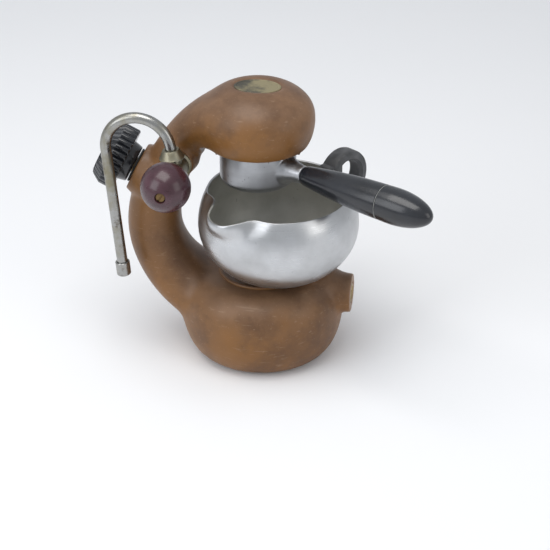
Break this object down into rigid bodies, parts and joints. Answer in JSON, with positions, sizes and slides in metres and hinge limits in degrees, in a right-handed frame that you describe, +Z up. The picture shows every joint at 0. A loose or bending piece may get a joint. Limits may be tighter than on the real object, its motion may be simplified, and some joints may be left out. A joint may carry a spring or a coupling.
{
  "type": "stovetop espresso maker",
  "caption": "Stovetop steam espresso maker: round cast boiler, hollow C-shaped neck and bulb, bayonet filter holder, hooked steam pipe with ball knob, screw filler cap and a loose jug.",
  "frame": {"origin": "centre of the boiler underside, on the surface it stands on", "axes": "+Z up; +X from the neck side towards the front boss; -Y is the side with the steam valve and its knob"},
  "size_m": [0.2715, 0.1566, 0.2263],
  "materials": {
    "painted_casting": "satin brown paint over sand-cast aluminium, slightly rough",
    "bare_aluminium": "satin, finely scratched",
    "polished_aluminium": "brushed and polished",
    "plated_brass": "worn nickel plating",
    "yellow_brass": "bare, tarnished",
    "spring_steel": "bright drawn",
    "black_bakelite": "moulded, worn satin",
    "maroon_bakelite": "moulded and polished",
    "black_rubber": "matte",
    "packing_cord": "waxed cord",
    "badge_plate": "worn plain plate"
  },
  "bodies": {
    "boiler": {"boiler_body": "painted_casting", "bottom_plate": "bare_aluminium", "water_riser": "bare_aluminium", "top_badge": "badge_plate", "shower_screen": "bare_aluminium", "screen_screw": "yellow_brass", "group_gasket": "black_rubber", "steam_valve_body": "plated_brass", "valve_packing": "packing_cord", "packing_nut": "plated_brass", "outlet_collar": "plated_brass", "relief_body": "yellow_brass", "relief_screw": "yellow_brass", "relief_spring": "spring_steel"},
    "steam_spindle": {"valve_spindle": "spring_steel"},
    "steam_knob": {"steam_knob": "maroon_bakelite", "knob_screw": "yellow_brass"},
    "filler_seal": {"filler_seal": "black_rubber"},
    "filler_cap": {"filler_cap": "black_bakelite", "filler_plug": "yellow_brass"},
    "filter_basket": {"filter_basket": "bare_aluminium"},
    "filter_holder": {"filter_cup": "bare_aluminium", "handle_rod": "spring_steel", "handle_grip": "black_bakelite", "handle_grip_cap": "black_bakelite"},
    "steam_wand": {"steam_pipe": "plated_brass", "steam_nozzle": "plated_brass"},
    "relief_poppet": {"relief_poppet": "spring_steel"},
    "jug": {"jug_bowl": "polished_aluminium", "jug_handle": "black_bakelite", "jug_rivet_1": "bare_aluminium", "jug_rivet_2": "bare_aluminium"}
  },
  "joints": [
    {"name": "spindle_travel", "type": "slide", "parent": "boiler", "child": "steam_spindle", "axis": [0, -1, 0], "range_m": [0, 0.0019]},
    {"name": "steam_knob_turn", "type": "hinge", "parent": "steam_spindle", "child": "steam_knob", "pos_m": [-0.061, -0.062, 0.166], "axis": [0, -1, 0], "range_deg": [0, 540]},
    {"name": "filler_seal_travel", "type": "slide", "parent": "boiler", "child": "filler_seal", "axis": [-0.8988, 0, 0.4384], "range_m": [0, 0.0121]},
    {"name": "filler_cap_turn", "type": "hinge", "parent": "filler_seal", "child": "filler_cap", "pos_m": [-0.099, 0, 0.151], "axis": [-0.8988, 0, 0.4384], "range_deg": [0, 1440]},
    {"name": "basket_travel", "type": "slide", "parent": "boiler", "child": "filter_basket", "axis": [0, 0, -1], "range_m": [0, 0.001]},
    {"name": "filter_holder_turn", "type": "hinge", "parent": "filter_basket", "child": "filter_holder", "pos_m": [-0.003, 0, 0.165], "axis": [0, 0, -1], "range_deg": [0, 45]},
    {"name": "steam_wand_swivel", "type": "hinge", "parent": "boiler", "child": "steam_wand", "pos_m": [-0.061, -0.0347, 0.166], "axis": [-0.1045, 0, 0.9945], "range_deg": [0, 70]},
    {"name": "relief_poppet_travel", "type": "slide", "parent": "boiler", "child": "relief_poppet", "axis": [1, 0, 0], "range_m": [0, 0.0015], "stiffness_N_per_m": 2000, "springref_m": -0.002, "deforming": ["relief_spring"]},
    {"name": "jug_travel", "type": "slide", "parent": "boiler", "child": "jug", "axis": [1, 0, 0], "range_m": [0, 0.14]}
  ],
  "couplings": [
    {"joint": "spindle_travel", "follows": "steam_knob_turn", "m_per_rad": 0.0002},
    {"joint": "filler_seal_travel", "follows": "filler_cap_turn", "m_per_rad": 0.00047746},
    {"joint": "basket_travel", "follows": "filter_holder_turn", "m_per_rad": 0.001272}
  ]
}
